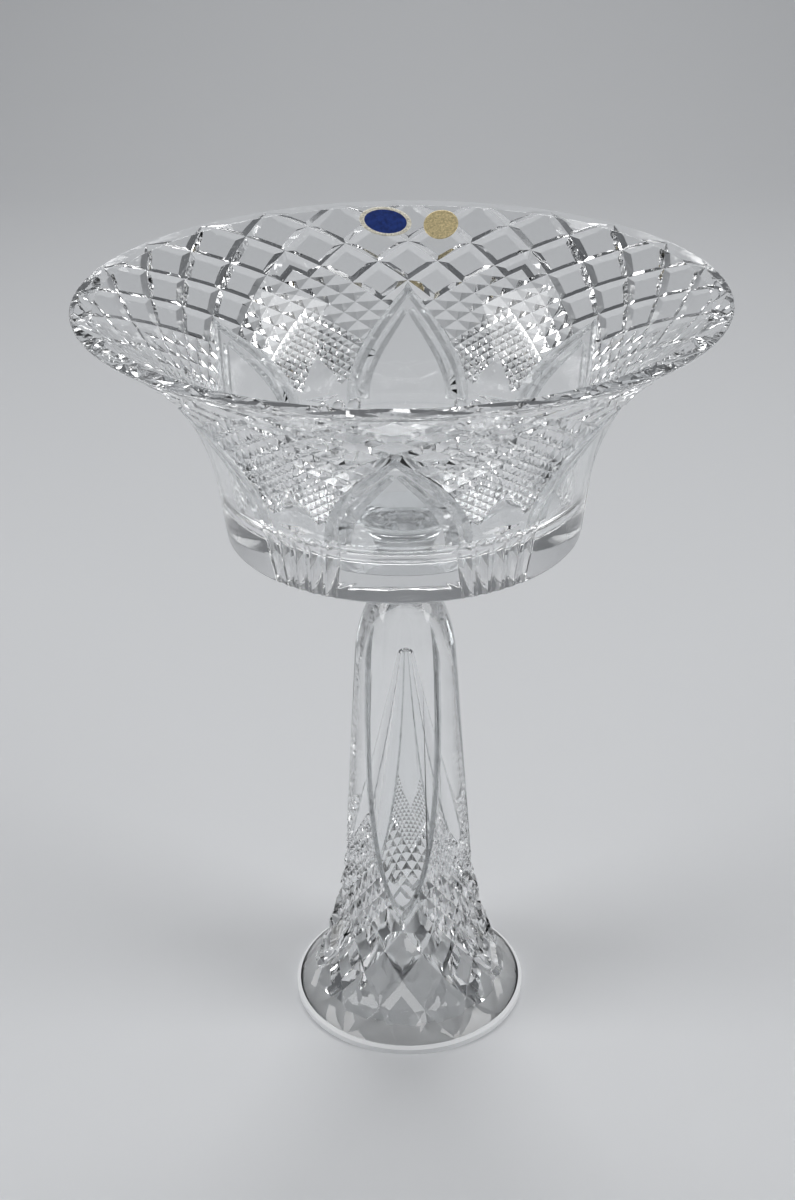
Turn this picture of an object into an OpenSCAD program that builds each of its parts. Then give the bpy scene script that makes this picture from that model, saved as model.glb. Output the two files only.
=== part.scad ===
// Footed fruit bowl in cut crystal: a flared bowl bonded on a hollow trumpet foot.
// Origin at the centre of the foot's ground ring, +Z up, millimetres.

/* [Bowl] */
// Widest diameter, over the rim
rim_d = 305; // [260:1:366]
// Height from the flat underside to the top of the rim
bowl_h = 117.5; // [101:0.5:141]
// Diameter of the flat underside
base_d = 174.4; // [146:0.2:209]
// Lean of the body's side from the vertical
body_lean = 7; // [4:0.5:9]
// Rise of the flared lip from the horizontal
lip_rise = 38; // [34:0.5:42]
// Outside radius that carries the body into the lip
flare_r = 110; // [80:1:120]
// Thickness of the wall
wall = 6.9; // [5.7:0.1:8.3]
// Thickness of the solid base
base_t = 17; // [12:0.5:22]
// Radius between the floor and the wall inside
floor_r = 14; // [8:0.5:18]
// Rounding of the two edges of the rim's flat face
rim_round = 0.5; // [0.3:0.1:1]
// Rounding of the underside's edge
base_round = 1.2; // [0.5:0.1:2]

/* [Base flutes] */
// Groups of flutes, one between each two plain panels
flute_groups = 6; // [4:1:8]
// Flutes in a group
flutes = 5; // [3:1:7]
// Angle from one flute to the next at the top
flute_pitch = 5.8; // [4.6:0.1:6.2]
// Angle from one flute to the next at the underside
flute_base_pitch = 4.4; // [3.6:0.1:4.6]
// Height of a flute's rounded top above the underside
flute_h = 31; // [20:0.5:40]
// Radius of the cutter that makes a flute
flute_r = 4.4; // [3:0.1:4.4]
// Depth of a flute below its rounded top
flute_top_depth = 2.2; // [1:0.1:3]
// Depth of a flute at the underside
flute_base_depth = 1.5; // [0.8:0.1:2.4]

/* [Cuts on the bowl] */
// Length from the first row of diamonds to the next; further ones keep in step with the radius
bowl_rise = 11.8; // [10.8:0.1:12.6]
// Length from the rim to the first diamond of a field
bowl_first = 29.2; // [28:0.1:31]
// Length left plain beside the rim
rim_plain = 2.7; // [2:0.1:5]
// Width of the mitre cuts between diamonds
bowl_cut_w = 6.6; // [5:0.1:7.2]
// Height of an arch's point above the underside
arch_tip = 83; // [78:0.5:86]
// Height of an inner arch's point above the underside
arch_inner_tip = 71.7; // [68:0.1:74]
// Turn from an arch's axis to the outer edge of its foot
arch_turn = 21.2; // [19:0.1:22]
// Turn from an arch's axis to the inner edge of its foot
arch_inner_turn = 13.2; // [12:0.1:14]
// Width of each of an arch's two cuts at its foot
arch_w = 6.4; // [5:0.1:7]
// Height of a leaf's point above the underside
leaf_tip = 54.6; // [50:0.1:58]
// Width of a leaf
leaf_w = 19.7; // [16:0.1:21]
// Depth of a leaf along its middle
leaf_depth = 1.6; // [1:0.1:2]

/* [Foot] */
// Height of the foot
foot_h = 287; // [240:1:344]
// Diameter over the ground ring
foot_d = 126.8; // [106:0.2:152]
// Width of the ground ring
ring_w = 5; // [3:0.5:7]
// Height of the upright edge above the ring
edge_h = 3; // [2:0.5:5]
// Lean of the lip just above that edge, from the vertical
foot_lip_lean = 55; // [50:1:58]
// Lean of the skirt above the lip, from the vertical
skirt_lean = 20; // [17:0.5:22]
// Diameter where the skirt and the stem would meet
stem_d = 71.8; // [62:0.2:80]
// Height where they would meet
stem_z = 60; // [52:1:70]
// Outside radius that carries the stem into the skirt
skirt_r = 280; // [200:5:290]
// Outside radius that carries the skirt into the lip
foot_lip_r = 32; // [20:1:34]
// Diameter where the stem and its shoulder would meet
shoulder_d = 50; // [44:0.2:56]
// Distance of the shoulder below the top
shoulder_drop = 57; // [50:0.5:62]
// Lean of the shoulder from the vertical
shoulder_lean = 25; // [20:0.5:28]
// Rounding of the shoulder
shoulder_r = 85; // [50:1:88]
// Diameter of the top face that carries the bowl
pad_d = 56.6; // [48:0.2:66]
// Spread of the neck under that face, from the vertical
neck_spread = 53; // [48:0.5:56]
// Radius of the neck's waist
neck_r = 32; // [24:0.5:33]
// Thickness of the wall round the hollow
foot_wall = 12.5; // [10:0.1:15]
// Radius that carries the hollow into the skirt
hollow_skirt_r = 200; // [150:5:230]
// Thickness of solid glass above the hollow
crown_t = 69; // [57:1:83]
// Turn of the foot under the bowl, as it was bonded
foot_turn = -3.5; // [-10:0.5:10]

/* [Cuts on the foot] */
// Diamond fields round the foot, with a lancet between each two
foot_fields = 3; // [3:1:4]
// Length from the first row of diamonds to the next; further ones keep in step with the radius
foot_rise = 15.7; // [14.4:0.1:16.6]
// Length from the ground ring to the first diamond of a field
foot_first = 36.5; // [34:0.1:39]
// Length left plain beside the ground ring
ring_plain = 2.4; // [2:0.1:4]
// Width of the mitre cuts between diamonds
foot_cut_w = 7.4; // [5:0.1:7.6]
// Height where the wide cuts of a field end
foot_cut_end = 125; // [104:1:150]
// Height of a lancet's point
lancet_tip = 69; // [64:0.5:72]
// Height of an inner lancet's point
lancet_inner_tip = 77; // [75:0.5:80]
// Height where a lancet's sides run out
lancet_end = 238; // [200:1:240]
// Turn from a lancet's axis to the outer edge of its sides at the top
lancet_turn = 47.5; // [44:0.5:50]
// Turn from a lancet's axis to the inner edge of its sides at the top
lancet_inner_turn = 38.5; // [36:0.5:40]
// Width of each of a lancet's two cuts
lancet_w = 2.7; // [2:0.1:3.2]

/* [Bond and seals] */
// Thickness of the layer of adhesive
bond_t = 0.5; // [0.2:0.1:1]
// Margin that the adhesive keeps inside the foot's top face
bond_margin = 0.6; // [0.2:0.1:2]
// Length of the oval seal
oval_seal_l = 28; // [23:0.5:29]
// Height of the oval seal
oval_seal_h = 18.5; // [15:0.5:19]
// Distance of the oval seal's centre from the rim, along the lip
oval_seal_drop = 10; // [10:0.1:16]
// Turn of the oval seal from the back of the bowl
oval_seal_turn = 5.1; // [5:0.1:20]
// Slant of the oval seal, as it was stuck on
oval_seal_slant = 11.5; // [-20:0.5:12]
// Diameter of the round seal
round_seal_d = 18.5; // [15:0.5:19]
// Distance of the round seal's centre from the rim, along the lip
round_seal_drop = 11.9; // [10:0.1:16]
// Turn of the round seal from the back of the bowl
round_seal_turn = -7.5; // [-20:0.1:-6]
// Thickness of the foil
foil_t = 0.2; // [0.1:0.05:0.4]
// Clearance between the foil and the glass
foil_gap = 0.05; // [0.02:0.01:0.1]

/* [Hidden] */
$fn = 96;
glass = [0.86, 0.9, 0.92, 0.4];
bowl_z = foot_h + bond_t;
// Turn from one point of a rounded corner to the next, at most
arc_step = 6;
// Slope of a mitre cut's sides, and how far its cutter stands out of the glass
mitre_slope = 0.68;
mitre_proud = 1;
// Diamonds side by side in a field
diamonds = 4;
// Share of an arch's cut that is left at its point
arch_narrow = 0.62;
// Share of a cut's width that is left where it has faded out
cut_end = 0.1;
// Length over which a cut between diamonds runs out towards an edge
run_out = 10;

// Outlines are lists of corners, [radius from the axis, height, rounding], counter-clockwise.

// Direction that climbs while it leans away from the axis
function climb(lean) = [sin(lean), cos(lean)];
// Direction square to it, towards the axis
function inward(lean) = [-cos(lean), sin(lean)];
function cross2(a, b) = a[0] * b[1] - a[1] * b[0];
// Point where the line through p along u meets the line through q along v
function meet(p, u, q, v) = p + u * cross2(q - p, v) / cross2(u, v);
function with_rounding(point, radius) = [point[0], point[1], radius];
function flat(corner) = [corner[0], corner[1]];

// Points of the arc that rounds the corner q between p and s
function corner_arc(p, q, s, radius) =
    let (
        to_p = (p - q) / norm(p - q),
        to_s = (s - q) / norm(s - q),
        half = acos(to_p * to_s) / 2,
        centre = q + (to_p + to_s) / norm(to_p + to_s) * radius / sin(half),
        start = q + to_p * radius / tan(half) - centre,
        sweep = (180 - 2 * half) * sign(cross2(q - p, s - q)),
        steps = max(2, ceil(abs(sweep) / arc_step))
    )
    [for (k = [0:steps])
        let (a = atan2(start[1], start[0]) + sweep * k / steps)
        centre + radius * [cos(a), sin(a)]];

// Closed outline with every corner rounded by its own radius
function outline(corners) =
    let (n = len(corners))
    [for (i = [0:n - 1])
        let (corner = corners[i])
        each corner[2] > 0
            ? corner_arc(flat(corners[(i + n - 1) % n]), flat(corner), flat(corners[(i + 1) % n]), corner[2])
            : [flat(corner)]];

// Open path whose inner corners are rounded
function open_path(corners) =
    let (last = len(corners) - 1)
    [for (i = [0:last])
        let (corner = corners[i])
        each i > 0 && i < last
            ? corner_arc(flat(corners[i - 1]), flat(corner), flat(corners[i + 1]), corner[2])
            : [flat(corner)]];

// A skin is an outer face given by five tables over the length along it: radius, height, the two parts of the
// outward direction, and the length itself counted in radii.

function reach(path, i) = i == 0 ? 0 : reach(path, i - 1) + norm(path[i] - path[i - 1]);
function reach_in_radii(path, i) =
    i == 0 ? 0
        : reach_in_radii(path, i - 1) + 2 * norm(path[i] - path[i - 1]) / (path[i][0] + path[i - 1][0]);
function skin_of(path) =
    let (
        last = len(path) - 1,
        up = sign(path[last][1] - path[0][1]),
        rows = [for (i = [0:last])
            let (way = path[min(i + 1, last)] - path[max(i - 1, 0)])
            [reach(path, i), path[i][0], path[i][1], up * way[1] / norm(way), -up * way[0] / norm(way),
                reach_in_radii(path, i)]]
    )
    [for (column = [1:5]) [for (row = rows) [row[0], row[column]]]];
function skin_radius(skin, s) = lookup(s, skin[0]);
function skin_climbs(skin) = skin[1][len(skin[1]) - 1][1] > skin[1][0][1];
function swapped(table) = [for (row = table) [row[1], row[0]]];
function skin_length(skin, z) = lookup(z, swapped(skin[1]));
// Length that lies a number of rows past another, where a row is as long as rise there
function rows_past(skin, s, rise, rows) =
    lookup(lookup(s, skin[4]) + rows * rise / skin_radius(skin, s), swapped(skin[4]));
// Turn that is as wide as a distance round the skin
function turn_of(skin, s, distance) = distance / skin_radius(skin, s) * 180 / PI;
// Point at a turn from the front, a length along the skin and a height above it
function on_skin(skin, turn, s, height) =
    let (r = lookup(s, skin[0]) + height * lookup(s, skin[2]))
    [r * sin(turn), -r * cos(turn), lookup(s, skin[1]) + height * lookup(s, skin[3])];

// A mitre cut: a V drawn along a path of [turn, length, width] on a skin, under a cap that clears the glass
module mitre(skin, path, slope = mitre_slope, proud = mitre_proud) {
    last = len(path) - 1;
    // The corners run the other way round on a skin that climbs, so that every face looks outwards
    order = skin_climbs(skin) ? [3:-1:0] : [0:3];
    points = [for (k = [0:last])
        let (
            s = path[k][1],
            width = path[k][2],
            step = path[min(k + 1, last)] - path[max(k - 1, 0)],
            across = step[0] * skin_radius(skin, s) * PI / 180,
            way = [across, step[1]] / norm([across, step[1]]),
            half = width / 2 + proud / slope,
            corners = [[-half, proud], [0, -width / 2 * slope], [half, proud], [0, proud]]
        )
        each [for (i = order)
            let (side = corners[i][0])
            on_skin(skin, path[k][0] - turn_of(skin, s, side * way[1]), s + side * way[0], corners[i][1])]];
    sides = [for (k = [0:last - 1], i = [0:3])
        let (a = 4 * k + i, b = 4 * k + (i + 1) % 4)
        each [[a, b, b + 4], [a, b + 4, a + 4]]];
    end = 4 * last;
    ends = [[2, 1, 0], [3, 2, 0], [end, end + 1, end + 2], [end, end + 2, end + 3]];
    polyhedron(points, concat(sides, ends));
}

// A pointed arch: [length at its tip, length at its foot, turn at its foot, power that rounds its sides,
// share of its length over which its cuts fade out]
function arch_half(arch, s) =
    arch[2] * sin(90 * pow(min(max((s - arch[0]) / (arch[1] - arch[0]), 0), 1), arch[3]));
// The cut along one side of an arch, within its outline or, with inset -1, outside it. Its points crowd
// towards the tip, where it bends most.
function arch_path(skin, arch, side, width, inset, steps) =
    [for (k = [0:steps])
        let (
            t = pow(k / steps, 1.5),
            s = arch[0] + (arch[1] - arch[0]) * t,
            w = width * min(1, arch_narrow + 2 * (1 - arch_narrow) * t),
            left = arch[4] > 0 ? min(1, (1 - t) / arch[4] + cut_end) : 1
        )
        [side * (arch_half(arch, s) - turn_of(skin, s, inset * w / 2)), s, w * left]];

// A pattern of diamond fields between arches: [skin, fields, first, rise, start, end, arch]. Cuts run both
// ways; a and b count them from the first diamond of a field.
function crossing(pattern, a, b) =
    [(a - b) * 180 / diamonds / pattern[1], rows_past(pattern[0], pattern[2], pattern[3], a + b)];
function is_open(pattern, a, b) =
    let (
        place = crossing(pattern, a, b),
        from_axis = abs(180 / pattern[1] - abs(place[0])),
        lap = 0.5
    )
    place[1] >= pattern[4] && place[1] <= pattern[5] && from_axis > arch_half(pattern[6], place[1]) - lap;
// Stretches of cut a that lie open, each as its first and last b
function stretches(pattern, a) =
    let (
        fine = 8,
        shortest = 0.4,
        rows = 10 * fine,
        open = [for (k = [-rows:rows]) if (is_open(pattern, a, k / fine)) k],
        starts = [for (k = open) if (!is_open(pattern, a, (k - 1) / fine)) k / fine],
        ends = [for (k = open) if (!is_open(pattern, a, (k + 1) / fine)) k / fine]
    )
    [for (i = [0:len(starts) - 1]) if (ends[i] - starts[i] > shortest) [starts[i], ends[i]]];

// All cuts of a pattern that run one way
module diamond_cuts(pattern, way, width) {
    for (f = [0:pattern[1] - 1], a = [0:diamonds - 1], span = stretches(pattern, a)) {
        // A cut bends half way between its crossings
        least = 0.2;
        bends = [for (b = [floor(span[0]) + 0.5:span[1]])
            if (b > span[0] + least && b < span[1] - least) b];
        rotate((f + 0.5) * 360 / pattern[1]) mitre(pattern[0], [for (b = concat(span[0], bends, span[1]))
            let (
                place = crossing(pattern, a, b),
                left = min(1, (place[1] - pattern[4]) / run_out + cut_end)
            )
            [way * place[0], place[1], width * left]]);
    }
}

// The same cut at every arch
module arch_cuts(skin, fields, path) {
    for (f = [0:fields - 1]) rotate(f * 360 / fields) mitre(skin, path);
}

// The bowl's section, with its underside at height 0
lip_lean = 90 - lip_rise;
// The lip ends in a flat face; the sharp outer edge would stand out past its rounding
rim_outer = [rim_d / 2 + rim_round * (1 / tan(lip_rise / 2) - 1), bowl_h];
rim_inner = rim_outer - [wall / sin(lip_rise), 0];
base_edge = [base_d / 2, 0];
base_edge_in = base_edge + wall * inward(body_lean);
flare_corner = meet(base_edge, climb(body_lean), rim_outer, climb(lip_lean));
flare_corner_in = meet(base_edge_in, climb(body_lean), rim_inner, climb(lip_lean));
floor_corner = meet(base_edge_in, climb(body_lean), [0, base_t], [1, 0]);
function body_radius(z) = meet(base_edge, climb(body_lean), [0, z], [1, 0])[0];

module bowl_section() {
    polygon(outline([
        [0, 0, 0],
        with_rounding(base_edge, base_round),
        with_rounding(flare_corner, flare_r),
        with_rounding(rim_outer, rim_round),
        with_rounding(rim_inner, rim_round),
        with_rounding(flare_corner_in, flare_r + wall),
        with_rounding(floor_corner, floor_r),
        [0, base_t, 0],
    ]));
}

// One flute: a round-nosed cutter drawn down the body and off the underside; flutes draw together downwards
module flute(offset) {
    run_off = 2;
    top_r = body_radius(flute_h) + flute_r - flute_top_depth;
    end_r = flute_r * flute_base_pitch / flute_pitch;
    base_r = body_radius(0) + end_r - flute_base_depth;
    top = [top_r * sin(flute_pitch * offset), -top_r * cos(flute_pitch * offset), flute_h - flute_r];
    end = [base_r * sin(flute_base_pitch * offset), -base_r * cos(flute_base_pitch * offset), -run_off];
    axis = top - end;
    translate(end) rotate([0, acos(axis[2] / norm(axis)), atan2(axis[1], axis[0])]) rotate_extrude() {
        polygon([[0, 0], [end_r, 0], [flute_r, norm(axis)], [0, norm(axis)]]);
        translate([0, norm(axis)]) intersection() {
            circle(flute_r);
            square(flute_r);
        }
    }
}

module base_flutes() {
    for (g = [0:flute_groups - 1], i = [0:flutes - 1])
        rotate(360 / flute_groups * (g + 0.5)) flute(i - (flutes - 1) / 2);
}

bowl_skin = skin_of(open_path([
    with_rounding(rim_outer, 0),
    with_rounding(flare_corner, flare_r),
    with_rounding(base_edge, 0),
]));
arch_foot = skin_length(bowl_skin, flute_h - 1);
arch_power = 1.17;
bowl_arch = [skin_length(bowl_skin, arch_tip), arch_foot, arch_turn, arch_power, 0];
bowl_inner_arch = [skin_length(bowl_skin, arch_inner_tip), arch_foot, arch_inner_turn, arch_power, 0];
leaf_start = skin_length(bowl_skin, leaf_tip);
bowl_pattern = [bowl_skin, flute_groups, bowl_first, bowl_rise, rim_plain, leaf_start, bowl_arch];

// A leaf: two shallow facets that meet in a line above each group of flutes
module bowl_leaves() {
    steps = 8;
    belly = 0.54;
    close = 0.12;
    leaf_end = skin_length(bowl_skin, flute_h + 1);
    for (g = [0:flute_groups - 1])
        rotate(360 / flute_groups * (g + 0.5)) mitre(bowl_skin, [for (k = [0:steps])
            let (t = k / steps, share = max(min(1, t / belly, (1 - t) / close), cut_end))
            [0, leaf_start + (leaf_end - leaf_start) * t, leaf_w * share]],
            slope = 2 * leaf_depth / leaf_w, proud = 0.4);
}

module bowl_arch_cuts(side, arch, inset) {
    steps = 7;
    arch_cuts(bowl_skin, flute_groups, arch_path(bowl_skin, arch, side, arch_w, inset, steps));
}

// Each turn of the cutting has only cutters that are clear of each other
module bowl() {
    color(glass) translate([0, 0, bowl_z]) difference() {
        difference() {
            difference() {
                difference() {
                    difference() {
                        difference() {
                            rotate_extrude() bowl_section();
                            base_flutes();
                        }
                        bowl_leaves();
                    }
                    diamond_cuts(bowl_pattern, 1, bowl_cut_w);
                }
                diamond_cuts(bowl_pattern, -1, bowl_cut_w);
            }
            bowl_arch_cuts(1, bowl_arch, 1);
            bowl_arch_cuts(-1, bowl_inner_arch, -1);
        }
        bowl_arch_cuts(-1, bowl_arch, 1);
        bowl_arch_cuts(1, bowl_inner_arch, -1);
    }
}

// The foot's section, standing on its ring at height 0
ring_edge = [foot_d / 2, 0];
lip_edge = [foot_d / 2, edge_h];
ring_in = [foot_d / 2 - ring_w, 0];
stem_corner = [stem_d / 2, stem_z];
shoulder_corner = [shoulder_d / 2, foot_h - shoulder_drop];
pad_edge = [pad_d / 2, foot_h];
lip_corner = meet(lip_edge, climb(-foot_lip_lean), stem_corner, climb(-skirt_lean));
neck_corner = meet(shoulder_corner, climb(-shoulder_lean), pad_edge, climb(neck_spread));
stem_lean = atan2(stem_corner[0] - shoulder_corner[0], shoulder_corner[1] - stem_corner[1]);
skirt_in = stem_corner + foot_wall * inward(-skirt_lean);
stem_in = stem_corner + foot_wall * inward(-stem_lean);
lip_corner_in = meet(ring_in, climb(-foot_lip_lean), skirt_in, climb(-skirt_lean));
stem_corner_in = meet(skirt_in, climb(-skirt_lean), stem_in, climb(-stem_lean));
hollow_top = meet(stem_in, climb(-stem_lean), [0, foot_h - crown_t], [1, 0]);
// The hollow ends in a full dome
dome_r = 0.98 * hollow_top[0] / tan((90 - stem_lean) / 2);
// Outer face from the ring's edge to the top
foot_side = [
    with_rounding(lip_edge, 0),
    with_rounding(lip_corner, foot_lip_r),
    with_rounding(stem_corner, skirt_r),
    with_rounding(shoulder_corner, shoulder_r),
    with_rounding(neck_corner, neck_r),
    with_rounding(pad_edge, 0),
];

module foot_section() {
    polygon(outline(concat([with_rounding(ring_in, 0), with_rounding(ring_edge, 0)], foot_side, [
        [0, foot_h, 0],
        [0, foot_h - crown_t, 0],
        with_rounding(hollow_top, dome_r),
        with_rounding(stem_corner_in, hollow_skirt_r),
        with_rounding(lip_corner_in, foot_lip_r),
    ])));
}

foot_skin = skin_of(open_path(foot_side));
lancet_foot = skin_length(foot_skin, lancet_end);
lancet_power = 0.66;
inner_lancet_power = 0.59;
lancet_fade = 0.15;
lancet = [skin_length(foot_skin, lancet_tip), lancet_foot, lancet_turn, lancet_power, lancet_fade];
inner_lancet = [skin_length(foot_skin, lancet_inner_tip), lancet_foot, lancet_inner_turn, inner_lancet_power,
    lancet_fade];
cuts_end = skin_length(foot_skin, foot_cut_end);
foot_pattern = [foot_skin, foot_fields, foot_first, foot_rise, ring_plain, cuts_end, lancet];

module lancet_cuts(side, arch, inset) {
    steps = 12;
    arch_cuts(foot_skin, foot_fields, arch_path(foot_skin, arch, side, lancet_w, inset, steps));
}

module foot() {
    color(glass) rotate(foot_turn) difference() {
        difference() {
            difference() {
                difference() {
                    rotate_extrude() foot_section();
                    diamond_cuts(foot_pattern, 1, foot_cut_w);
                }
                diamond_cuts(foot_pattern, -1, foot_cut_w);
            }
            lancet_cuts(1, lancet, 1);
            lancet_cuts(-1, inner_lancet, -1);
        }
        lancet_cuts(-1, lancet, 1);
        lancet_cuts(1, inner_lancet, -1);
    }
}

module bond() {
    color([0.9, 0.93, 0.95, 0.5]) translate([0, 0, foot_h]) cylinder(bond_t, d = pad_d - 2 * bond_margin);
}

// A foil seal lies along the lip's smooth inner face, cut to an ellipse of the size given
module seal(size, drop, turn, slant = 0) {
    centre = rim_inner - drop * climb(lip_lean);
    reach = 2 * size[1];
    sheet_low = centre + foil_gap * inward(lip_lean);
    sheet_high = sheet_low + foil_t * inward(lip_lean);
    sides = 48;
    rotate(90 + turn) translate([0, 0, bowl_z]) intersection() {
        rotate_extrude() polygon([
            sheet_low - reach * climb(lip_lean),
            sheet_low + reach * climb(lip_lean),
            sheet_high + reach * climb(lip_lean),
            sheet_high - reach * climb(lip_lean),
        ]);
        translate([centre[0], 0, centre[1]]) rotate([0, -lip_rise, 0])
            linear_extrude(2 * wall, center = true) rotate(-slant)
                polygon([for (i = [0:sides - 1])
                    [size[1] / 2 * cos(360 * i / sides), size[0] / 2 * sin(360 * i / sides)]]);
    }
}

module label_oval() {
    color([0.12, 0.2, 0.5]) seal([oval_seal_l, oval_seal_h], oval_seal_drop, oval_seal_turn, oval_seal_slant);
}

module label_round() {
    color([0.83, 0.68, 0.3]) seal([round_seal_d, round_seal_d], round_seal_drop, round_seal_turn);
}

bowl();
foot();
bond();
label_oval();
label_round();
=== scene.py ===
"""Footed fruit bowl in cut crystal: the cut glass, its bond, the foil seals and a plain studio around them.

Turns are measured round the axis from the front, -Y, towards +X. Lengths on the glass are measured along
its outer face: from the rim downwards on the bowl, from the ground ring upwards on the foot. Heights stand
out of that face.
"""

import math

import bpy
import numpy as np
from bpy.props import FloatProperty, FloatVectorProperty, IntProperty, PointerProperty
from mathutils import Matrix, Vector


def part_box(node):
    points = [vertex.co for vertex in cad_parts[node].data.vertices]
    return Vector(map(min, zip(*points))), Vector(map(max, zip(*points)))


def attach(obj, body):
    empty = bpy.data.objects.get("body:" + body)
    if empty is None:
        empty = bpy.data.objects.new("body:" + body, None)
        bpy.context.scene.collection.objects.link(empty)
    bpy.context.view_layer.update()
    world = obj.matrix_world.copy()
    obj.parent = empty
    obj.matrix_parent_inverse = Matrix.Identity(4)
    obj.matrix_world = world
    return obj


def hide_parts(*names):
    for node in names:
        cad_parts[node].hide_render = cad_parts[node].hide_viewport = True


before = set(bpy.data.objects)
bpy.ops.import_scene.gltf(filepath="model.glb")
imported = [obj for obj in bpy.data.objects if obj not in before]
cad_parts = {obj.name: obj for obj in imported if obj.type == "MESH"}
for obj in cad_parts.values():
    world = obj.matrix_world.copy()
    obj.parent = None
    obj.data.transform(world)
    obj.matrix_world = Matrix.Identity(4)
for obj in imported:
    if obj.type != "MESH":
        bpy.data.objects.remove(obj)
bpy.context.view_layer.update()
BOWL_LOW, BOWL_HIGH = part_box("bowl")
_, FOOT_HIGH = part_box("foot")
BOND_LOW, BOND_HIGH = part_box("bond")

bl_info = {
    "name": "Footed crystal bowl",
    "version": (1, 0, 0),
    "blender": (4, 5, 0),
    "location": "View3D > Sidebar > Crystal",
    "description": "Builds the cut glass, the bond, the seals and the studio around the packed part",
    "category": "Object",
}


# Properties

def length(name, description, default):
    return FloatProperty(
        name=name, description=description, default=default, min=0.0, precision=5, unit="LENGTH")


def angle(name, description, degrees):
    return FloatProperty(name=name, description=description, default=math.radians(degrees), subtype="ANGLE")


def number(name, description, default):
    return FloatProperty(name=name, description=description, default=default)


def colour(name, description, default):
    return FloatVectorProperty(
        name=name, description=description, default=default, size=3, min=0.0, max=1.0, subtype="COLOR")


class BowlSettings(bpy.types.PropertyGroup):
    """Section of the bowl"""

    rim_diameter: length("Rim diameter", "Widest diameter, a hair inside the part's own", 0.3049)
    base_diameter: length("Base diameter", "Diameter of the flat underside", 0.1744)
    body_lean: angle("Body lean", "Lean of the body's side from the vertical", 7)
    lip_rise: angle("Lip rise", "Rise of the flared lip from the horizontal", 38)
    flare_radius: length("Flare radius", "Outside radius that carries the body into the lip", 0.110)
    wall: length("Wall", "Thickness of the wall", 0.0069)
    base_thickness: length("Base thickness", "Thickness of the solid base", 0.017)
    floor_radius: length("Floor radius", "Radius between the floor and the wall inside", 0.014)
    rim_rounding: length("Rim rounding", "Rounding of the two edges of the rim's flat face", 0.0005)
    base_rounding: length("Base rounding", "Rounding of the underside's edge", 0.0012)


class FootSettings(bpy.types.PropertyGroup):
    """Section of the foot"""

    ring_diameter: length("Ring diameter", "Diameter over the ground ring", 0.1268)
    ring_width: length("Ring width", "Width of the ground ring", 0.005)
    edge_height: length("Edge height", "Height of the upright edge above the ring", 0.003)
    ground_height: length("Ground height", "Height up to which the edge is ground matt", 0.0042)
    lip_lean: angle("Lip lean", "Lean of the lip above that edge, from the vertical", 55)
    skirt_lean: angle("Skirt lean", "Lean of the skirt above the lip, from the vertical", 20)
    stem_diameter: length("Stem diameter", "Diameter where the skirt and the stem would meet", 0.0718)
    stem_height: length("Stem height", "Height where they would meet", 0.060)
    skirt_radius: length("Skirt radius", "Radius that carries the stem into the skirt", 0.280)
    lip_radius: length("Lip radius", "Radius that carries the skirt into the lip", 0.032)
    shoulder_diameter: length("Shoulder diameter", "Diameter where stem and shoulder would meet", 0.050)
    shoulder_drop: length("Shoulder drop", "Distance of the shoulder below the top", 0.057)
    shoulder_lean: angle("Shoulder lean", "Lean of the shoulder from the vertical", 25)
    shoulder_radius: length("Shoulder radius", "Rounding of the shoulder", 0.085)
    pad_diameter: length("Pad diameter", "Diameter of the top face that carries the bowl", 0.0566)
    neck_spread: angle("Neck spread", "Spread of the neck under that face, from the vertical", 53)
    neck_radius: length("Neck radius", "Radius of the neck's waist", 0.032)
    wall: length("Wall", "Thickness of the wall round the hollow where the skirt begins", 0.0125)
    hollow_skirt_radius: length("Hollow skirt radius", "Radius between the hollow and its skirt", 0.200)
    hollow_lean: angle("Hollow lean", "Lean of the hollow's side inside the stem, from the vertical", 7.6)
    crown: length("Crown", "Thickness of solid glass above the hollow", 0.069)
    turn: angle("Turn", "Turn of the foot under the bowl, as it was bonded", -3.5)


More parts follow.
